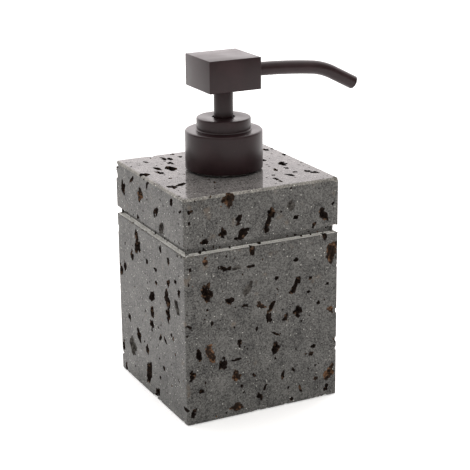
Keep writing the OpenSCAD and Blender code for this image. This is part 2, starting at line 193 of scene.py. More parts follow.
def stoneSurface(name, pale, dark, roughness, specular, relief, sparkle):
    # shared ground of the honed sides, the polished top and the sawn groove
    look = stoneLook
    material, tree, surface, place = startMaterial(name, Roughness=roughness, IOR=1.5)
    surface.inputs["Specular IOR Level"].default_value = specular
    clouds = addNode(tree, "ShaderNodeTexNoise", {"Scale": perMetre(look["clouds"]), "Detail": 3.0},
                     {0: place})
    grain = addNode(tree, "ShaderNodeTexNoise", {"Scale": perMetre(look["grain"]), "Detail": 4.0,
                    "Roughness": 0.7}, {0: place})
    mixed = addNode(tree, "ShaderNodeMath", {1: look["cloudShare"]}, {0: clouds}, operation="MULTIPLY")
    ground = addNode(tree, "ShaderNodeMath", {1: 1 - look["cloudShare"]}, {0: grain, 2: mixed},
                     operation="MULTIPLY_ADD")
    paleness = addNode(tree, "ShaderNodeMapRange", {1: look["darkBelow"], 2: look["paleAbove"]}, {0: ground},
                       interpolation_type="SMOOTHSTEP")
    colour = addNode(tree, "ShaderNodeMix", {6: srgb(dark), 7: srgb(pale)}, {0: paleness}, data_type="RGBA")
    stain = addNode(tree, "ShaderNodeTexNoise", {"Scale": perMetre(look["stainSize"]), "Detail": 5.0,
                    "W": 3.7}, {0: place}, noise_dimensions="4D")
    rusting = addNode(tree, "ShaderNodeMapRange", {1: look["stainStart"], 2: look["stainFull"],
                      4: look["stainMost"]}, {0: stain}, interpolation_type="SMOOTHSTEP")
    colour = addNode(tree, "ShaderNodeMix", {7: srgb(look["rust"])}, {0: rusting, 6: colour.outputs[2]},
                     data_type="RGBA")
    crystals = addNode(tree, "ShaderNodeTexVoronoi", {"Scale": perMetre(look["crystalGap"])}, {0: place})
    crystalEdge = look["crystalSize"] / look["crystalGap"]
    bright = addNode(tree, "ShaderNodeMapRange", {1: crystalEdge * 0.5, 2: crystalEdge, 3: sparkle, 4: 0.0},
                     {0: crystals.outputs["Distance"]}, interpolation_type="SMOOTHSTEP")
    dice = addNode(tree, "ShaderNodeSeparateColor", links={0: crystals.outputs["Color"]})
    chosen = addNode(tree, "ShaderNodeMapRange", {1: look["crystalRare"], 2: look["crystalSure"]}, {0: dice},
                     interpolation_type="SMOOTHSTEP")
    bright = addNode(tree, "ShaderNodeMath", None, {0: bright, 1: chosen}, operation="MULTIPLY")
    colour = addNode(tree, "ShaderNodeMix", {7: srgb(look["crystal"])}, {0: bright, 6: colour.outputs[2]},
                     data_type="RGBA")
    vents = addNode(tree, "ShaderNodeTexVoronoi", {"Scale": perMetre(look["ventGap"]), "W": 1.3}, {0: place},
                    voronoi_dimensions="4D")
    ventEdge = look["ventSize"] / look["ventGap"]
    hole = addNode(tree, "ShaderNodeMapRange", {1: ventEdge * 0.6, 2: ventEdge, 3: 1.0, 4: 0.0},
                   {0: vents.outputs["Distance"]}, interpolation_type="SMOOTHSTEP")
    dice = addNode(tree, "ShaderNodeSeparateColor", links={0: vents.outputs["Color"]})
    chosen = addNode(tree, "ShaderNodeMapRange", {1: look["ventRare"], 2: look["ventSure"]},
                     {0: dice.outputs[1]}, interpolation_type="SMOOTHSTEP")
    hole = addNode(tree, "ShaderNodeMath", None, {0: hole, 1: chosen}, operation="MULTIPLY")
    # near-black dots: painted shade in the pinholes, which the bump only dents
    colour = addNode(tree, "ShaderNodeMix", {7: srgb(look["vent"])}, {0: hole, 6: colour.outputs[2]},
                     data_type="RGBA")
    tree.links.new(colour.outputs[2], surface.inputs["Base Color"])
    heights = addNode(tree, "ShaderNodeMath", {1: -look["ventDepth"]}, {0: hole, 2: grain},
                      operation="MULTIPLY_ADD")
    bump = addNode(tree, "ShaderNodeBump", {"Strength": relief, "Distance": 0.25 * mm}, {"Height": heights})
    tree.links.new(bump.outputs[0], surface.inputs["Normal"])
    return material


# the walls of a gas bubble: unpolished, nearly black in the deep ones, partly as painted shade of the hole,
# rusty or grey in shallow ones
def bubbleWall(name, deep, lining, share):
    material, tree, surface, place = startMaterial(name, Roughness=0.95, IOR=1.5)
    surface.inputs["Specular IOR Level"].default_value = 0.15
    patch = addNode(tree, "ShaderNodeTexNoise", {"Scale": perMetre(2.2), "Detail": 4.0}, {0: place})
    crumbs = addNode(tree, "ShaderNodeTexNoise", {"Scale": perMetre(0.35), "Detail": 3.0}, {0: place})
    lined = addNode(tree, "ShaderNodeMapRange", {1: 0.62 - share, 2: 0.75 - share}, {0: patch},
                    interpolation_type="SMOOTHSTEP")
    colour = addNode(tree, "ShaderNodeMix", {6: srgb(deep), 7: srgb(lining)}, {0: lined}, data_type="RGBA")
    crumbly = addNode(tree, "ShaderNodeMapRange", {1: 0.6, 2: 0.75, 4: 0.4}, {0: crumbs},
                      interpolation_type="SMOOTHSTEP")
    colour = addNode(tree, "ShaderNodeMix", {7: srgb(lining)}, {0: crumbly, 6: colour.outputs[2]},
                     data_type="RGBA")
    tree.links.new(colour.outputs[2], surface.inputs["Base Color"])
    bump = addNode(tree, "ShaderNodeBump", {"Strength": 0.6, "Distance": 0.3 * mm}, {"Height": crumbs})
    tree.links.new(bump.outputs[0], surface.inputs["Normal"])
    return material


# Dark bronze coat, sprayed and baked on metal: satin, almost black, with a faint orange peel
coatLook = dict(colour="#201113", worn="#2b1b1d", speck="#6b625e", peel=0.5, smudge=14.0, roughness=0.37,
                specular=0.27)


def satinCoat():
    look = coatLook
    material, tree, surface, place = startMaterial("satinBronzeCoatOnMetal", IOR=1.5, Metallic=0.0)
    surface.inputs["Specular IOR Level"].default_value = look["specular"]
    smudge = addNode(tree, "ShaderNodeTexNoise", {"Scale": perMetre(look["smudge"]), "Detail": 5.0},
                     {0: place})
    dust = addNode(tree, "ShaderNodeTexNoise", {"Scale": perMetre(0.4), "Detail": 2.0}, {0: place})
    wear = addNode(tree, "ShaderNodeMapRange", {1: 0.4, 2: 0.7}, {0: smudge}, interpolation_type="SMOOTHSTEP")
    colour = addNode(tree, "ShaderNodeMix", {6: srgb(look["colour"]), 7: srgb(look["worn"])}, {0: wear},
                     data_type="RGBA")
    specks = addNode(tree, "ShaderNodeMapRange", {1: 0.72, 2: 0.8, 4: 0.35}, {0: dust},
                     interpolation_type="SMOOTHSTEP")
    colour = addNode(tree, "ShaderNodeMix", {7: srgb(look["speck"])}, {0: specks, 6: colour.outputs[2]},
                     data_type="RGBA")
    tree.links.new(colour.outputs[2], surface.inputs["Base Color"])
    rough = addNode(tree, "ShaderNodeMapRange", {1: 0.35, 2: 0.7, 3: look["roughness"] - 0.04,
                    4: look["roughness"] + 0.06}, {0: smudge}, interpolation_type="SMOOTHSTEP")
    tree.links.new(rough.outputs[0], surface.inputs["Roughness"])
    peel = addNode(tree, "ShaderNodeTexNoise", {"Scale": perMetre(look["peel"]), "Detail": 2.0}, {0: place})
    bump = addNode(tree, "ShaderNodeBump", {"Strength": 0.06, "Distance": 0.05 * mm}, {"Height": peel})
    tree.links.new(bump.outputs[0], surface.inputs["Normal"])
    return material


def mouldedPlastic(name, colour, tint, roughness, transmission=0.0, ior=1.49):
    # moulded polypropylene or polyethylene: smooth skin with a trace of flow marks
    material, tree, surface, place = startMaterial(name, IOR=ior, Roughness=roughness)
    surface.inputs["Transmission Weight"].default_value = transmission
    flow = addNode(tree, "ShaderNodeTexNoise", {"Scale": perMetre(8.0), "Detail": 3.0, "Distortion": 1.2},
                   {0: place})
    marks = addNode(tree, "ShaderNodeMapRange", {1: 0.35, 2: 0.65}, {0: flow},
                    interpolation_type="SMOOTHSTEP")
    blend = addNode(tree, "ShaderNodeMix", {6: srgb(colour), 7: srgb(tint)}, {0: marks}, data_type="RGBA")
    tree.links.new(blend.outputs[2], surface.inputs["Base Color"])
    skin = addNode(tree, "ShaderNodeTexNoise", {"Scale": perMetre(0.6), "Detail": 2.0}, {0: place})
    bump = addNode(tree, "ShaderNodeBump", {"Strength": 0.05, "Distance": 0.05 * mm}, {"Height": skin})
    tree.links.new(bump.outputs[0], surface.inputs["Normal"])
    return material


def foamRubber():
    # closed-cell EVA foam, sliced from a sheet: matt, with cut cells about 0.6 mm across
    material, tree, surface, place = startMaterial("slicedFoamRubber", IOR=1.48, Roughness=0.9)
    cells = addNode(tree, "ShaderNodeTexVoronoi", {"Scale": perMetre(0.6)}, {0: place})
    rims = addNode(tree, "ShaderNodeMapRange", {1: 0.1, 2: 0.7}, {0: cells}, interpolation_type="SMOOTHSTEP")
    colour = addNode(tree, "ShaderNodeMix", {6: srgb("#141414"), 7: srgb("#2a2a2a")}, {0: rims},
                     data_type="RGBA")
    tree.links.new(colour.outputs[2], surface.inputs["Base Color"])
    bump = addNode(tree, "ShaderNodeBump", {"Strength": 0.5, "Distance": 0.15 * mm}, {"Height": cells})
    tree.links.new(bump.outputs[0], surface.inputs["Normal"])
    return material


def drawnSteel(name, colour, roughness):
    # stainless steel, drawn to wire or ground to a ball: faint streaks in the gloss
    material, tree, surface, place = startMaterial(name, Metallic=1.0)
    streaks = addNode(tree, "ShaderNodeTexNoise", {"Scale": perMetre(1.5), "Detail": 4.0}, {0: place})
    rough = addNode(tree, "ShaderNodeMapRange", {1: 0.3, 2: 0.7, 3: roughness * 0.7, 4: roughness * 1.3},
                    {0: streaks}, interpolation_type="SMOOTHSTEP")
    tree.links.new(rough.outputs[0], surface.inputs["Roughness"])
    tone = addNode(tree, "ShaderNodeMix", {6: srgb(colour), 7: srgb("#b4b4b0")}, {0: streaks},
                   data_type="RGBA")
    tree.links.new(tone.outputs[2], surface.inputs["Base Color"])
    return material


finishes = {
    "dark_coat": satinCoat(),
    "black_plastic": mouldedPlastic("mouldedBlackPolypropylene", "#161515", "#1f1e1e", 0.4),
    "natural_plastic": mouldedPlastic("mouldedNaturalPolypropylene", "#e3e4df", "#d6d8d2", 0.3, 0.35),
    "tube_plastic": mouldedPlastic("extrudedNaturalPolyethylene", "#dfe3e2", "#cfd5d4", 0.28, 0.45, 1.51),
    "seal_plastic": mouldedPlastic("mouldedWhitePolyethylene", "#efefe9", "#e4e4dc", 0.45, 0.0, 1.51),
    "foam_rubber": foamRubber(),
    "spring_steel": drawnSteel("drawnStainlessWire", "#9b9a96", 0.25),
    "polished_steel": drawnSteel("groundStainlessBall", "#c2c2be", 0.1),
}
print("materials made")


view = dict(azimuth=-26.57, elevation=17.71, distance=625.85, sideways=4.56, height=71.54, roll=-0.551,
            lens=105.3)


def setCamera():
    turnAngle = math.radians(view["azimuth"])
    tilt = math.radians(view["elevation"])
    lean = math.radians(view["roll"])
    right = Vector((math.cos(turnAngle), math.sin(turnAngle), 0))
    back = Vector((math.sin(turnAngle) * math.cos(tilt), -math.cos(turnAngle) * math.cos(tilt),
                   math.sin(tilt)))
    up = back.cross(right)
    target = right * view["sideways"] * mm + Vector((0, 0, view["height"] * mm))
    cameraRight = right * math.cos(lean) + up * math.sin(lean)
    cameraUp = up * math.cos(lean) - right * math.sin(lean)
    lensData = bpy.data.cameras.new("camera")
    lensData.lens = view["lens"]
    lensData.sensor_width = 36
    lensData.clip_start = 0.01
    camera = bpy.data.objects.new("camera", lensData)
    bpy.context.scene.collection.objects.link(camera)
    place = target + back * view["distance"] * mm
    pose = Matrix((cameraRight, cameraUp, back)).transposed().to_4x4()
    pose.translation = place
    camera.matrix_world = pose
    bpy.context.scene.camera = camera


setCamera()


# each glow of the studio: direction it comes from, where it starts and is full, strength, colour
glows = {
    "all round": ((0.0, 0.0, 1.0), -3.0, -2.0, 0.22, "#fff4e6"),
    "back wall": ((0.45, 0.87, 0.2), 0.15, 0.9, 2.3, "#fff9fb"),
    "front window": ((-0.25, -0.75, 0.6), 0.6, 0.98, 0.5, "#ffffff"),
    "left window": ((-1.0, 0.0, 0.0), 0.1, 0.9, 0.12, "#e0fbff"),
    "overhead": ((0.0, 0.0, 1.0), 0.3, 0.95, 0.95, "#ffffff"),
}
floorLook = dict(colour="#fcfcfc", glow=0.3, radius=4.0)


def setLight():
    scene = bpy.context.scene
    scene.view_settings.view_transform = "Standard"
    world = bpy.data.worlds.new("studio")
    scene.world = world
    world.use_nodes = True
    tree = world.node_tree
    tree.nodes.clear()
    direction = addNode(tree, "ShaderNodeTexCoord").outputs["Generated"]
    total = None
    for axis, start, full, strength, colour in glows.values():
        towards = addNode(tree, "ShaderNodeVectorMath", {1: axis}, {0: direction}, operation="DOT_PRODUCT")
        amount = addNode(tree, "ShaderNodeMapRange", {1: start, 2: full, 4: strength},
                         {0: towards.outputs["Value"]}, interpolation_type="SMOOTHSTEP")
        sky = addNode(tree, "ShaderNodeBackground", {"Color": srgb(colour)}, {"Strength": amount})
        total = sky if total is None else addNode(tree, "ShaderNodeAddShader", links={0: total, 1: sky})
    addNode(tree, "ShaderNodeOutputWorld", links={"Surface": total})
    clearHands()
    bpy.ops.mesh.primitive_circle_add(vertices=96, radius=floorLook["radius"], fill_type="NGON")
    floor = bpy.context.object
    floor.name = "floor"
    material, _, surface, _ = startMaterial("paleStudioFloor", Roughness=0.9)
    surface.inputs["Base Color"].default_value = srgb(floorLook["colour"])
    surface.inputs["Emission Color"].default_value = srgb(floorLook["colour"])
    surface.inputs["Emission Strength"].default_value = floorLook["glow"]
    surface.inputs["Specular IOR Level"].default_value = 0.1
    floor.data.materials.append(material)


setLight()
print("camera, light and floor set")


stone = dict(
    edgeRadius=1.1, lipRadius=0.4, floorSlope=0.7, grooveLow=77.7, grooveHigh=81.3, grooveDepth=2.7,
    padRadius=34.51, padTop=1.5, plateRadius=33.01, plateTop=4.5, cavityRadius=29.5, cavityTop=92.9,
    neckHole=14.5,
)
stoneLow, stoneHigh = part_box("stone_block")


def shapeBlock():
    clearHands()
    middle = (stoneLow + stoneHigh) / 2
    size = stoneHigh - stoneLow
    bpy.ops.mesh.primitive_cube_add(size=1, location=middle)
    piece = bpy.context.object
    piece.name = "lavaStoneBlock"
    piece.scale = size
    bpy.ops.object.transform_apply(location=True, rotation=True, scale=True)
    bpy.ops.object.mode_set(mode="EDIT")
    # upright edges and top arris in one go, while the underside's edges stay sharp
    pick(piece, "EDGE", lambda e: max(v.co.z for v in e.verts) > stoneHigh.z - 0.01 * mm)
    bpy.ops.mesh.bevel(offset=stone["edgeRadius"] * mm, segments=5, profile=0.5)
    low, high = stone["grooveLow"] * mm, stone["grooveHigh"] * mm
    for height in (low, high):
        bpy.ops.mesh.select_all(action="SELECT")
        bpy.ops.mesh.bisect(plane_co=(0, 0, height), plane_no=(0, 0, 1))
    pick(piece, "FACE", lambda f: low < f.calc_center_median().z < high)
    bpy.ops.mesh.extrude_region_shrink_fatten(
        TRANSFORM_OT_shrink_fatten={"value": -stone["grooveDepth"] * mm, "use_even_offset": True})
    # the saw leaves the groove's floor sloping outwards, and its lower lip worn round
    rim = stoneHigh.x - stone["grooveDepth"] / 2 * mm
    pick(piece, "VERT", lambda v: abs(v.co.z - low) < 0.01 * mm and
         rim > max(abs(v.co.x), abs(v.co.y)) > rim - stone["grooveDepth"] * mm)
    bpy.ops.transform.translate(value=(0, 0, stone["floorSlope"] * mm))
    pick(piece, "EDGE", lambda e: all(abs(v.co.z - low) < 0.01 * mm and
                                      max(abs(v.co.x), abs(v.co.y)) > rim for v in e.verts))
    bpy.ops.mesh.bevel(offset=stone["lipRadius"] * mm, segments=2, profile=0.5)
    # the bevel overshoots at the rounded corners, so those points go back to the faces
    for axis, keepRest in ((0, (0, 1, 1)), (1, (1, 0, 1))):
        for side in (-1, 1):
            pick(piece, "VERT", lambda v: side * v.co[axis] > stoneHigh.x + 0.0005 * mm)
            plane = side * stoneHigh.x
            bpy.ops.transform.resize(value=keepRest, center_override=(plane, plane, 0))
    bpy.ops.object.mode_set(mode="OBJECT")
    fixNormals(piece)
    return piece


def hollowOut(piece):
    s = stone
    below, above = -5, stoneHigh.z / mm + 5
    outline = [(s["padRadius"], below), (s["padRadius"], s["padTop"]), (s["plateRadius"], s["padTop"]),
               (s["plateRadius"], s["plateTop"]), (s["cavityRadius"], s["plateTop"]),
               (s["cavityRadius"], s["cavityTop"]), (s["neckHole"], s["cavityTop"]), (s["neckHole"], above)]
    cutAway(piece, turn("boringBar", outline, 96, solid=True), "MANIFOLD")


# the bubbles' shapes, modelled once each: how finely the sphere is cut, and what share of its faces stays
bubbleGrades = {"small": (2, 1.0), "middling": (3, 0.6), "large": (4, 0.42)}
bubbleShapes = 7


def modelBubbles():
    # an ico sphere of radius 1, pushed about by two cloud textures, at places where the clouds differ
    lumps = bpy.data.textures.new("lumps", "CLOUDS")
    lumps.noise_scale = 1.1
    lumps.noise_depth = 1
    crags = bpy.data.textures.new("crags", "CLOUDS")
    crags.noise_scale = 0.35
    crags.noise_depth = 2
    shapes = {}
    for grade, (fineness, share) in bubbleGrades.items():
        shapes[grade] = []
        for number in range(bubbleShapes):
            clearHands()
            place = (number * 5.3 + 1.7, fineness * 3.1, number * 2.9)
            bpy.ops.mesh.primitive_ico_sphere_add(subdivisions=fineness, radius=1, location=place)
            blob = bpy.context.object
            bpy.ops.object.transform_apply(location=True, rotation=True, scale=True)
            applyModifier(blob, "DISPLACE", texture=lumps, strength=1.4, mid_level=0.5)
            if grade != "small":
                applyModifier(blob, "DISPLACE", texture=crags, strength=0.65, mid_level=0.5)
                applyModifier(blob, "DECIMATE", ratio=share)
            corners = [Vector(c) for c in blob.bound_box]
            middle = (corners[0] + corners[6]) / 2
            half = (corners[6] - corners[0]) / 2
            blob.data.transform(Matrix.Translation(-middle))
            blob.data.transform(Matrix.Diagonal((1 / half.x, 1 / half.y, 1 / half.z, 1)))
            shapes[grade].append(blob)
    return shapes


# Faces of the block: outward normal, direction across and direction up, as seen from outside
faces = {
    "front": (Vector((0, -1, 0)), Vector((1, 0, 0)), Vector((0, 0, 1))),
    "left": (Vector((-1, 0, 0)), Vector((0, -1, 0)), Vector((0, 0, 1))),
    "back": (Vector((0, 1, 0)), Vector((-1, 0, 0)), Vector((0, 0, 1))),
    "right": (Vector((1, 0, 0)), Vector((0, 1, 0)), Vector((0, 0, 1))),
    "top": (Vector((0, 0, 1)), Vector((1, 0, 0)), Vector((0, 1, 0))),
    "underside": (Vector((0, 0, -1)), Vector((-1, 0, 0)), Vector((0, 1, 0))),
}

# The large bubbles, listed in mm: across, up from the stone's foot, length, width, lean.
# Top face: across, along, length, width, lean. Deep ones first, then rusty and grey shallow ones.
handBubbles = {
    "front": {
        "deep": [
            (-31.5, 32, 5, 2.5, 5), (-20, 26, 5.5, 3, 12), (6, 28, 4, 3.5, 0), (17, 44, 4, 3.5, 0),
            (11, 42, 3.5, 1.5, 20), (2.5, 44, 6, 2, 0), (4, 48.5, 5, 2, 35),
            (-16.5, 54.5, 4, 2.5, -70), (-9, 51, 3, 1, 90),
            (-35.5, 45.5, 3.5, 1, -60), (-25, 45.5, 2.5, 1, 0), (-3.5, 39, 2.5, 1, 10), (6, 35, 5, 1, -60),
            (-12, 34, 3, 2, 0), (-13.5, 26.5, 5, 1, 85), (25, 25.5, 2, 2, 0), (-34.5, 23, 3.5, 2.5, 0),
            (-5, 17.5, 2.5, 1, -45), (-30.5, 15, 2, 2, 0), (-11, 13.5, 2, 1, -20), (9.5, 14.5, 3.5, 1.5, 0),
            (15, 16, 2.5, 1, -30), (0.5, 10.5, 3, 1, 20), (-2, 6.5, 3.5, 2, -35), (-34.5, 5, 4, 2, 15),
            (18.5, 6, 4, 1, -10), (32, 4, 3, 2, 15), (27.5, 46, 2, 1.5, 0), (14, 2, 2, 1.5, 0),
            (4, 91, 3.5, 3, 0), (2.5, 87.5, 4.5, 2, 15), (1.5, 84.5, 4, 2, 5), (-10.5, 83.5, 8, 3, 45),
            (29.5, 87, 5.5, 3, -20), (-12, 90.5, 4, 2, 35), (-19.5, 85.5, 3.5, 3, 0), (-28, 83, 3, 2, 90),
            (-36, 80, 2, 2, 0), (-34.5, 97, 2.5, 1.5, 60), (-35, 92, 2, 1, 0), (16, 87.5, 2, 2, 0),
            (24.5, 82, 3.5, 1.5, 30), (34.5, 91, 2, 1, 45), (-5.5, 76, 5, 2, 0), (-20, 70, 4, 1.5, -60),
            (-17.5, 69, 4, 1.5, 75),
            (-6, 68.5, 4, 1, 90), (16, 68, 2, 2, 0), (-27.5, 60, 7, 4, -18), (6.5, 61, 2, 1.5, 0),
            (17, 57.5, 5, 2.5, 15), (14.5, 54, 3.5, 2.5, 60), (23.5, 58.5, 2, 1.5, 0), (-35, 71.5, 2, 1, 0),
            (30.5, 76.5, 3, 2, 0), (22.5, 52, 1.5, 1.5, 0), (32, 54, 1.5, 1.5, 0), (12.5, 8, 1.5, 1, 0),
            (37.5, 40.5, 2.5, 2, 0), (37.5, 63, 6, 1.2, 0), (37.5, 22, 3, 1.5, 0),
        ],
        "rusty": [
            (-26, 31.5, 8, 3, -15), (-1.5, 49.5, 4, 2, -50), (24, 22, 2, 2, 0), (-13.5, 18.5, 3.5, 3.5, 0),
            (-13.5, 4, 5, 3, 80), (33.5, 10.5, 6, 4, 30), (26.5, 9.5, 2, 2, 0), (34, 41.5, 3.5, 2, -40),
            (-17, 100, 5, 5, 0), (-28, 74, 3.5, 2, 0), (34, 69, 7.5, 4.5, 20),
        ],
        "grey": [(-7.5, 58.5, 7.5, 2.5, 30), (13.5, 93, 3, 3, 0), (-13, 69, 4, 1.5, 85)],
        "chip": [(37.8, 102.8, 6, 5, -35), (-37.2, 102.4, 1.5, 2.5, 0)],
    },
    "left": {
        "deep": [
            (1.5, 48.5, 6, 3.5, 50), (1.5, 41, 4.5, 3.5, 0), (0.5, 34.5, 4, 3.5, 0), (18.5, 53, 6.5, 5, 0),
            (19, 45.5, 4.5, 4, 0), (20, 60.5, 3, 3, 0), (-13.5, 67, 6.5, 5, 0), (-14.5, 72.5, 4.5, 3.5, 0),
            (-4, 9.5, 9, 5, 20), (5, 3, 4, 3.5, 30), (-15, 24, 4.5, 4, 0), (-26, 29, 3, 2.5, 0),
            (-28.5, 91.5, 5, 4, 0), (8.5, 89.5, 5, 3, 60), (-11.5, 80.5, 4, 2.5, 0), (-20.5, 61.5, 3.5, 3, 0),
            (12, 74, 3, 2, 0), (20.5, 71, 3, 2, 0), (-3, 63.5, 2.5, 2, 0), (6, 62.5, 3.5, 1.5, 90),
            (6.5, 56.5, 2, 2, 0), (-34, 50, 4, 3, 0), (-29.5, 53.5, 3.5, 3, 0), (-5.5, 20.5, 3.5, 3, 0),
            (13, 18, 2.5, 2, 0), (8.5, 11.5, 2, 2, 0), (35.5, 7, 3.5, 1.5, 90), (-34.5, 12, 4, 2.5, 0),
            (-32, 2, 4, 2, 0), (25, 98.5, 3, 2.5, 0), (34, 96.5, 3.5, 1, 60), (-0.5, 100, 4, 1.5, 30),
            (-18, 98, 6, 1.5, 60), (31, 59.5, 3, 2.5, 0), (27.5, 63.5, 2, 2, 0), (10, 31.5, 4, 1.5, 40),
            (15.5, 32, 3.5, 1.5, -50), (22, 37, 2, 1.5, 0), (-37.5, 97, 7, 3.5, 0),
            (-37.5, 101.5, 3.5, 6, 10), (-37.5, 70, 4, 2.5, 0),
            (-37.5, 64, 2.5, 1.5, 0), (-37.5, 21, 2.5, 1.2, 0),
        ],
        "rusty": [(-8.5, 93.5, 5, 4.5, 0), (24, 36, 2, 1.5, 30)],
        "grey": [(-22.5, 15.5, 6.5, 6, 0), (14, 83.5, 5.5, 4.5, 0), (28.5, 52, 6, 3, -25)],
    },
    "top": {
        "deep": [
            (-21, 11.5, 6.5, 5, 0), (-17.5, 20, 4, 2.5, 0), (-28, 7, 5, 3, 0), (-26.5, 14, 5, 2.5, 0),
            (-17, 29, 4, 2.5, 0), (-14.5, 27, 4, 2.5, 0), (-33, -17, 4, 3.5, 0), (-28, -15, 5, 3, 60),
            (-35, 7.5, 4, 4, 0), (-8.5, 28.5, 2.5, 2.5, 0), (-10, 35, 3, 2, 0), (-26.5, 27, 3, 1.5, 0),
            (-28, -3.5, 2, 2, 0), (-14, -19, 2.5, 1.5, 0), (22, 4.5, 3, 3, 0), (27, -5, 4, 4, 0),
            (32.5, 21, 3, 3, 0), (25, -12.5, 3, 2, 0), (19, -13, 4, 2, 0), (20.5, -23.5, 3.5, 3, 0),
            (25, -20.5, 2.5, 2.5, 0), (30.5, -22, 3, 3, 0), (32.5, -25, 3, 3, 0), (35.5, 9, 3, 2, 0),
            (12, -26.5, 4, 2, 0), (12, -31, 3, 1.5, 0), (14, -20.5, 2, 2, 0),
        ],
    },
}

# Bubbles scattered by the seeded dice: tries to a square mm, with more on the top and on the faces that
# have none listed, the smallest size and the least gap in mm, and the spread of linings
scatter = dict(seed=11, crowd=0.017, topCrowd=2, bareCrowd=1.4, minSize=0.6, gap=0.6, chipsPerFace=36,
               poresPerGroove=24, linings=("deep", "rusty", "grey"), weights=(86, 9, 5))
# A ragged outline fills less than its box, so the listed bubbles are cut a little larger
spread = dict(length=1.2, width=1.42, topWidth=1.15, satelliteFrom=3)
linings = {"deep": 3, "rusty": 4, "grey": 5, "chip": 2, "groove": 3}   # material slots of the stone


def bubbleMatrix(face, across, up, length, width, lean, depth, sink):
    # places a unit blob on a face: length along its lean, width across it, depth into the stone
    normal, sideways, upward = faces[face]
    angle = math.radians(lean)
    along = upward * math.cos(angle) + sideways * math.sin(angle)
    over = sideways * math.cos(angle) - upward * math.sin(angle)
    if face in ("top", "underside"):
        plane = stoneHigh.z if face == "top" else stoneLow.z
        middle = Vector((0, 0, plane))
        foot = 0
    else:
        middle = normal * stoneHigh.x
        foot = stoneLow.z
    centre = middle + sideways * across * mm + upward * (up * mm + foot) - normal * sink * mm
    sides = Matrix((over * width / 2 * mm, along * length / 2 * mm, normal * depth / 2 * mm))
    turnTo = sides.transposed().to_4x4()
    turnTo.translation = centre
    return turnTo


def listBubbles():
    # every bubble as (face, across, up, length, width, lean, lining)
    dice = random.Random(scatter["seed"])
    found = []
    for face, groups in handBubbles.items():
        fatter = spread["topWidth"] if face == "top" else spread["width"]
        for lining, rows in groups.items():
            for across, up, length, width, lean in rows:
                found.append((face, across, up, length * spread["length"], width * fatter, lean, lining))
                if length < spread["satelliteFrom"]:
                    continue
                # two smaller bubbles burst into a large one and spoil its outline
                for side in (-1, 1):
                    angle = math.radians(lean + dice.uniform(-25, 25))
                    reach = side * length * dice.uniform(0.34, 0.48)
                    swerve = width * dice.uniform(-0.25, 0.25)
                    size = width * dice.uniform(0.6, 1.0)
                    found.append((face, across + reach * math.sin(angle) + swerve * math.cos(angle),
                                  up + reach * math.cos(angle) - swerve * math.sin(angle),
                                  size * dice.uniform(1.0, 1.6), size * 0.8,
                                  lean + dice.uniform(-50, 50), lining))
    half = stoneHigh.x / mm
    tall = (stoneHigh.z - stoneLow.z) / mm
    for face in faces:
        flat = face in ("top", "underside")
        area = 4 * half * half if flat else 2 * half * tall
        placed = face in handBubbles
        crowd = [row for row in found if row[0] == face]
        crowding = scatter["topCrowd"] if face == "top" else 1 if placed else scatter["bareCrowd"]
        number = int(area * scatter["crowd"] * crowding)
        for count in range(number):
            size = scatter["minSize"] + 0.9 * dice.random() ** 2
            stretch = 1 + 1.1 * dice.random() ** 2
            if not placed:
                size = scatter["minSize"] + 5.5 * dice.random() ** 2.8
                stretch = 1.1 + 1.6 * dice.random()
            across = dice.uniform(-half, half)
            up = dice.uniform(-half, half) if flat else dice.uniform(0, tall)
            lean = dice.uniform(-60, 60)
            lining = dice.choices(scatter["linings"], scatter["weights"])[0]
            gap = min((math.hypot(row[1] - across, row[2] - up) - (row[3] + size) / 2 for row in crowd),
                      default=9)
            hole = stone["neckHole"] if face == "top" else stone["padRadius"]
            inHole = flat and math.hypot(across, up) < hole
            if gap < scatter["gap"] or inHole:
                continue
            row = (face, across, up, size * math.sqrt(stretch), size / math.sqrt(stretch), lean, lining)
            crowd.append(row)
            found.append(row)
        if not flat:
            # pores laid open in the groove, and crumbs broken out of the sawn lips and the foot
            lips = (stone["grooveLow"] * mm - stoneLow.z, stone["grooveHigh"] * mm - stoneLow.z, 0)
            for count in range(scatter["poresPerGroove"]):
                up = dice.uniform(stone["grooveLow"], stone["grooveHigh"]) - stoneLow.z / mm
                found.append((face, dice.uniform(-half, half), up, 0.6 + 1.2 * dice.random(),
                              0.6 + 1.6 * dice.random() ** 2, dice.uniform(-60, 60), "groove"))
            for count in range(scatter["chipsPerFace"]):
                up = dice.choice(lips) / mm
                found.append((face, dice.uniform(-half, half), up, 0.6 + 1.4 * dice.random() ** 2,
                              0.7 + 3.0 * dice.random() ** 2, dice.uniform(-15, 15), "chip"))
    return found


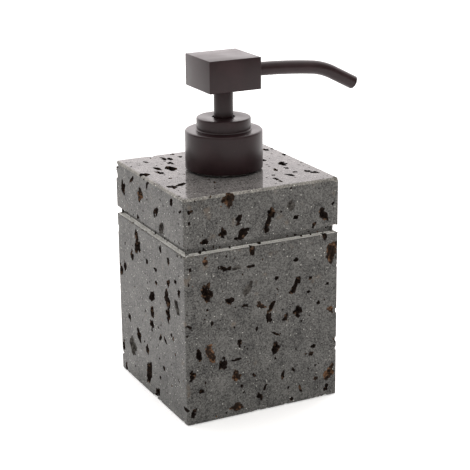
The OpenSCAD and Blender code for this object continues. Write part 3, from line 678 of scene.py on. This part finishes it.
def cutBubbles(piece):
    shapes = modelBubbles()
    dice = random.Random(scatter["seed"] + 1)
    batches = []
    for face, across, up, length, width, lean, lining in listBubbles():
        size = math.sqrt(length * width)
        grade = "small" if size < 1.4 else "middling" if size < 3.3 else "large"
        if lining == "deep":
            depth = width * dice.uniform(1.3, 2.0)
            sink = width * 0.12
        elif lining == "groove":
            depth = width * 1.4
            sink = stone["grooveDepth"]
        else:
            depth = width * dice.uniform(0.6, 0.8)
            sink = 0.02
        matrix = bubbleMatrix(face, across, up, length * 1.04, width * 1.04, lean, depth, sink)
        mirror = Matrix.Diagonal((dice.choice((-1, 1)), dice.choice((-1, 1)), 1, 1))
        source = dice.choice(shapes[grade])
        mesh = source.data.copy()
        mesh.transform(matrix @ mirror)
        if (matrix @ mirror).determinant() < 0:
            mesh.flip_normals()
        for polygon in mesh.polygons:
            polygon.material_index = linings[lining]
        blob = bpy.data.objects.new("bubble", mesh)
        centre = matrix.translation.copy()
        reach = max(length, width, depth) / 2 * 1.45 * mm
        for batch in batches:
            if all((centre - other).length > reach + far for other, far, _ in batch):
                batch.append((centre, reach, blob))
                break
        else:
            batches.append([(centre, reach, blob)])
    for group in shapes.values():
        for blob in group:
            bpy.data.objects.remove(blob, do_unlink=True)
    print("bubbles to cut:", sum(len(b) for b in batches), "in", len(batches), "batches")
    for batch in batches:
        clearHands()
        for _, _, blob in batch:
            bpy.context.scene.collection.objects.link(blob)
            for material in piece.data.materials:
                blob.data.materials.append(material)
            blob.select_set(True)
        bpy.context.view_layer.objects.active = batch[0][2]
        if len(batch) > 1:
            bpy.ops.object.join()
        cutAway(piece, batch[0][2], "MANIFOLD")


def paintBlock(piece):
    # slot 0 honed faces, 1 polished top, 2 top arris and roof of the groove (paler: partly painted light), 6
    # floor of the groove (near white: painted light)
    low, high = stone["grooveLow"] * mm, stone["grooveHigh"] * mm
    for polygon in piece.data.polygons:
        c, n = polygon.center, polygon.normal
        if n.z > 0.99 and c.z > stoneHigh.z - 0.1 * mm:
            polygon.material_index = 1
        elif 0.1 < n.z < 0.99 and c.z > stoneHigh.z - 1.2 * mm:
            polygon.material_index = 2
        elif low - 0.01 * mm <= c.z <= high + 0.01 * mm and max(abs(c.x), abs(c.y)) < stoneHigh.x - 0.2 * mm:
            polygon.material_index = 6 if n.z > 0.4 else 2 if n.z < -0.4 else 0


# honed: grey with a dull sheen. Polished: mirrors at a low angle. Sawn: paler and matt, on the top arris, the
# chips and the groove's roof, made paler still as painted light that lifts the roof's shade. Lit ledge: the
# groove's floor, painted near white as painted light.
honed = stoneSurface("honedLavaStone", "#6a6966", "#1a1918", 0.42, 0.2, 0.3, 0.6)
polished = stoneSurface("polishedLavaStone", "#827f7d", "#323030", 0.09, 0.08, 0.03, 0.6)
# sawn stone paler than the honed faces, and paler still as painted light lifting the shade under the groove's
# roof
sawnAndLit = stoneSurface("sawnLavaStoneWithPaintedLight", "#9d9a93", "#3e3c39", 0.6, 0.3, 0.6, 1.0)
# near-white groove floor: painted light standing in for the light the ledge catches
litLedge = stoneSurface("ledgeOfLavaStoneWithPaintedLight", "#fffefb", "#c2c0ba", 0.7, 0.3, 0.6, 1.0)
# bubble walls: dark with brown crumbs, the dark partly painted shade, rusty in patches, or plain grey where
# the bubble is shallow
blackPaintedShadeBubble = bubbleWall("openBubbleInLavaStone", "#241c18", "#66503f", 0.07)
rustyBubble = bubbleWall("rustyBubbleInLavaStone", "#2a211b", "#6f533e", 0.13)
greyBubble = bubbleWall("greyBubbleInLavaStone", "#3b3835", "#575450", 0.2)

block = shapeBlock()
for stoneMaterial in (honed, polished, sawnAndLit, blackPaintedShadeBubble, rustyBubble, greyBubble, litLedge):
    block.data.materials.append(stoneMaterial)
hollowOut(block)
paintBlock(block)
cutBubbles(block)
settle(block, 32)
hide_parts("stone_block")
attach(block, "bottle")
print("stone block done:", sum(len(p.vertices) - 2 for p in block.data.polygons), "triangles")


def coat(piece, node, body):
    piece.data.materials.clear()
    piece.data.materials.append(finishes["dark_coat"])
    settle(piece, 30)
    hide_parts(node)
    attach(piece, body)


def sizesOf(node):
    # radius, low and high of a round node about Z, in mm
    low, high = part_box(node)
    return high.x / mm, low.z / mm, high.z / mm


collar = dict(wall=0.8, shoulder=0.9, hole=7.8, rim=0.2)
collarRadius, collarLow, collarTop = sizesOf("collar_shell")
collarShell = turn("collarShell", [
    (collarRadius, collarLow), (collarRadius, collarTop), (collar["hole"], collarTop),
    (collar["hole"], collarTop - collar["wall"]),
    (collarRadius - collar["wall"], collarTop - collar["wall"]), (collarRadius - collar["wall"], collarLow)],
    128, rounds=[((collarRadius, collarTop), collar["shoulder"], 6),
                 ((collarRadius, collarLow), collar["rim"], 2),
                 ((collar["hole"], collarTop), collar["rim"], 2)])
coat(collarShell, "collar_shell", "collar")

tier = dict(wall=0.7, shoulder=0.7, hole=5.13, rim=0.15, foot=0.4)
tierRadius, tierLow, tierTop = sizesOf("ring_cover")
tierCover = turn("upperTierCover", [
    (tierRadius + tier["foot"], tierLow), (tierRadius, tierLow + tier["foot"]),
    (tierRadius, tierTop), (tier["hole"], tierTop),
    (tier["hole"], tierTop - tier["wall"]), (tierRadius - tier["wall"], tierTop - tier["wall"]),
    (tierRadius - tier["wall"], tierLow)],
    112, rounds=[((tierRadius, tierTop), tier["shoulder"], 5),
                 ((tier["hole"], tierTop), tier["rim"], 2)])
coat(tierCover, "ring_cover", "pump")

sleeve = dict(wall=0.5, rim=0.1)
sleeveRadius, sleeveLow, sleeveTop = sizesOf("stem_sleeve")
stemSleeve = turn("stemSleeve", [
    (sleeveRadius, sleeveLow), (sleeveRadius, sleeveTop), (sleeveRadius - sleeve["wall"], sleeveTop),
    (sleeveRadius - sleeve["wall"], sleeveLow)],
    80, rounds=[((sleeveRadius, sleeveLow), sleeve["rim"], 2), ((sleeveRadius, sleeveTop), sleeve["rim"], 2)])
coat(stemSleeve, "stem_sleeve", "head")

head = dict(edge=0.3, insertHole=5.6, insertTop=149.71, spoutHole=3.11, spoutHeight=146.4)
headLow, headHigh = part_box("head_block")


def shapeHead():
    clearHands()
    bpy.ops.mesh.primitive_cube_add(size=1, location=(headLow + headHigh) / 2)
    piece = bpy.context.object
    piece.name = "squareHead"
    piece.scale = headHigh - headLow
    bpy.ops.object.transform_apply(location=True, rotation=True, scale=True)
    bpy.ops.object.mode_set(mode="EDIT")
    bpy.ops.mesh.select_all(action="SELECT")
    bpy.ops.mesh.bevel(offset=head["edge"] * mm, segments=3, profile=0.5)
    bpy.ops.object.mode_set(mode="OBJECT")
    below = headLow.z / mm - 5
    cutAway(piece, turn("insertBore", [(head["insertHole"], below), (head["insertHole"], head["insertTop"])],
                        64, solid=True))
    clearHands()
    length = headHigh.x + 5 * mm
    bpy.ops.mesh.primitive_cylinder_add(vertices=64, radius=head["spoutHole"] * mm, depth=length,
                                        location=(length / 2, 0, head["spoutHeight"] * mm),
                                        rotation=(0, math.pi / 2, 0))
    bore = bpy.context.object
    bpy.ops.object.transform_apply(location=True, rotation=True, scale=True)
    cutAway(piece, bore)
    return piece


coat(shapeHead(), "head_block", "head")

spout = dict(radius=3.11, wall=1.0, height=146.4, start=1.95, droopRadius=264.0, droop=6.56, bendRadius=31.4,
             bend=20.94, tip=12.6, steps=48)


def shapeSpout():
    s = spout
    low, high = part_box("spout_tube")
    clearHands()
    bpy.ops.mesh.primitive_circle_add(vertices=s["steps"], radius=s["radius"] * mm,
                                      location=(low.x, 0, s["height"] * mm), rotation=(0, math.pi / 2, 0))
    piece = bpy.context.object
    piece.name = "spoutTube"
    bpy.ops.object.transform_apply(location=True, rotation=True, scale=True)
    bpy.ops.object.mode_set(mode="EDIT")
    bpy.ops.mesh.select_mode(type="EDGE")
    bpy.ops.mesh.select_all(action="SELECT")
    droopX = headHigh.x / mm + s["start"]
    bpy.ops.mesh.extrude_region_move(TRANSFORM_OT_translate={"value": (droopX * mm - low.x, 0, 0)})
    heading = 0
    at = Vector((droopX, 0, s["height"]))
    for radius, bend, steps in ((s["droopRadius"], s["droop"], 14), (s["bendRadius"], s["bend"], 16)):
        downward = Vector((-math.sin(math.radians(heading)), 0, -math.cos(math.radians(heading))))
        middle = at + downward * radius
        bpy.ops.mesh.spin(steps=steps, angle=-math.radians(bend), center=middle * mm, axis=(0, 1, 0))
        heading += bend
        at = middle + Vector((math.sin(math.radians(heading)), 0, math.cos(math.radians(heading)))) * radius
    ahead = Vector((math.cos(math.radians(heading)), 0, -math.sin(math.radians(heading))))
    bpy.ops.mesh.extrude_region_move(TRANSFORM_OT_translate={"value": ahead * s["tip"] * mm})
    bpy.ops.object.mode_set(mode="OBJECT")
    fixNormals(piece)
    applyModifier(piece, "SOLIDIFY", thickness=s["wall"] * mm, offset=-1.0, use_rim=True)
    return piece


coat(shapeSpout(), "spout_tube", "head")
print("coated pieces done")


def smoothCopy(node, finish, body, name):
    # the machined or moulded node itself, with its facets merged into smooth walls
    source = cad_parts[node]
    clearHands()
    piece = source.copy()
    piece.data = source.data.copy()
    piece.parent = None
    piece.name = name
    piece.matrix_world = source.matrix_world
    bpy.context.scene.collection.objects.link(piece)
    for key in list(piece.keys()):
        if key.startswith("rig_"):
            del piece[key]
    piece.data.materials.clear()
    piece.data.materials.append(finishes[finish])
    takeUp(piece)
    bpy.ops.object.mode_set(mode="EDIT")
    bpy.ops.mesh.select_all(action="SELECT")
    bpy.ops.mesh.remove_doubles(threshold=0.001 * mm)
    bpy.ops.object.mode_set(mode="OBJECT")
    settle(piece, 28)
    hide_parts(node)
    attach(piece, body)
    return piece


innerPieces = {
    "inner_bottle": ("natural_plastic", "bottle", "innerBottle"),
    "base_plate": ("black_plastic", "bottle", "basePlate"),
    "foot_pad": ("foam_rubber", "bottle", "footPad"),
    "neck_gasket": ("seal_plastic", "neck_seal", "neckGasket"),
    "pump_housing": ("natural_plastic", "pump", "pumpHousing"),
    "dip_tube": ("tube_plastic", "pump", "dipTube"),
    "ball_cage": ("natural_plastic", "pump", "ballCage"),
    "guide_ring": ("black_plastic", "pump", "guideRing"),
    "threaded_closure": ("black_plastic", "collar", "threadedClosure"),
    "piston_seal": ("seal_plastic", "piston", "pistonSeal"),
    "pump_stem": ("natural_plastic", "head", "pumpStem"),
    "ball_stop": ("natural_plastic", "head", "ballStop"),
    "head_insert": ("black_plastic", "head", "headInsert"),
    "inlet_ball": ("polished_steel", "inlet_valve", "inletBall"),
    "outlet_ball": ("polished_steel", "outlet_valve", "outletBall"),
}
for node, (finish, body, name) in innerPieces.items():
    smoothCopy(node, finish, body, name)

spring = smoothCopy("return_spring", "spring_steel", "pump", "returnSpring")
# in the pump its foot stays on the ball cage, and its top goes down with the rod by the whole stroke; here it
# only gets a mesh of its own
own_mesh(spring)
print("inner pieces done")
